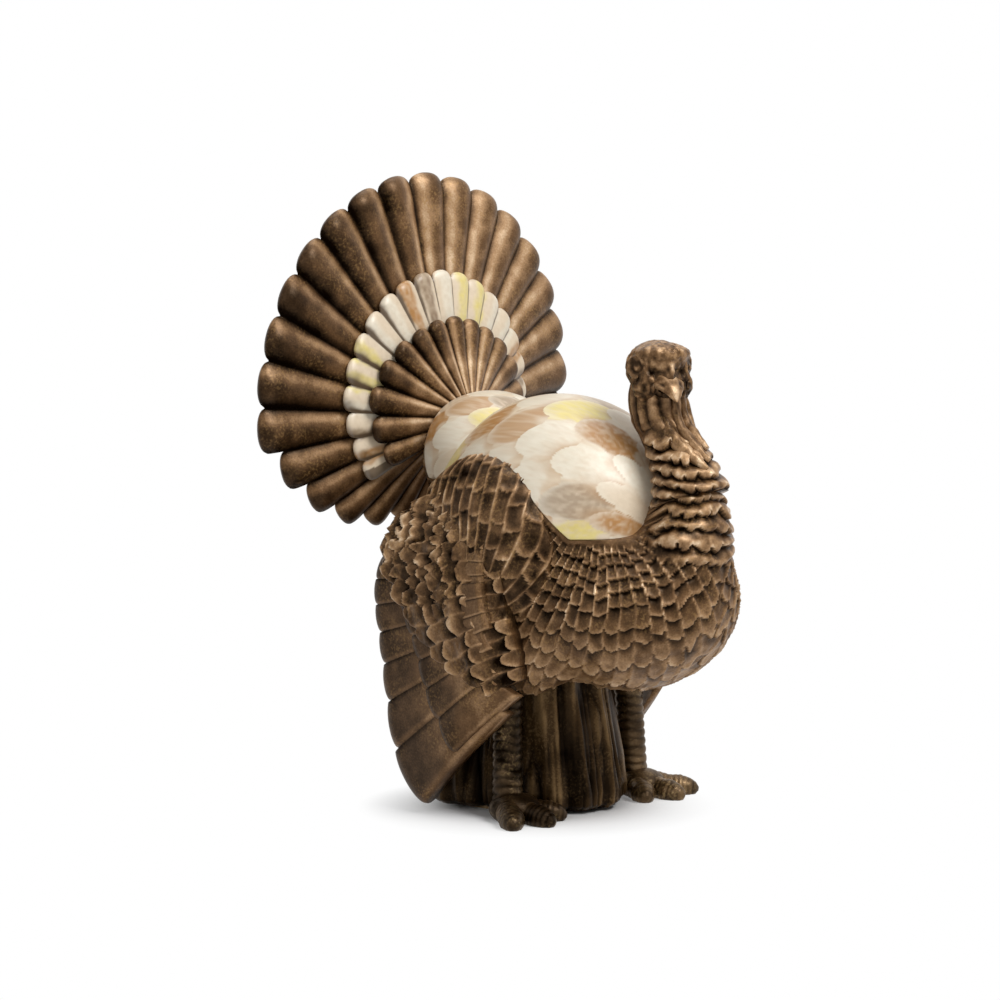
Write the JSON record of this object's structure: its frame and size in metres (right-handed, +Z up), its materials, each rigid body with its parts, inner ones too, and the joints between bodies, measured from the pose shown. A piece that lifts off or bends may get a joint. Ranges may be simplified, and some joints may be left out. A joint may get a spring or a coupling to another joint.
{
  "type": "turkey figurine",
  "caption": "Tabletop figurine of a strutting turkey in painted cast resin: fanned tail, drooped wings, glossy enamelled back, turned head, feet beside a bark stump.",
  "frame": {"origin": "on the table, under the middle of the figure's box", "axes": "+Z up, the bird faces -Y, its right side is -X"},
  "size_m": [0.2214, 0.2032, 0.3128],
  "materials": {
    "brown_resin": "dark brown wash with brushed tan highlights, satin",
    "leg_resin": "brown with a bronze sheen",
    "bark_resin": "dark brown, satin",
    "enamel": "glossy cream enamel with brushed tan and yellow",
    "steel": "plain",
    "cork": "plain cork"
  },
  "bodies": {
    "root": {"body_shell": "brown_resin", "back_saddle": "enamel", "rump_saddle": "enamel", "neck_and_head": "brown_resin", "tail_fan": "brown_resin", "tail_band": "enamel", "tail_coverts": "brown_resin", "right_wing": "brown_resin", "left_wing": "brown_resin", "right_wing_pin_1": "steel", "right_wing_pin_2": "steel", "left_wing_pin_1": "steel", "left_wing_pin_2": "steel", "left_leg": "leg_resin", "left_leg_rod": "steel", "right_leg": "leg_resin", "right_leg_rod": "steel", "stump_base": "bark_resin", "base_plate": "bark_resin", "base_cork": "cork"}
  },
  "joints": []
}
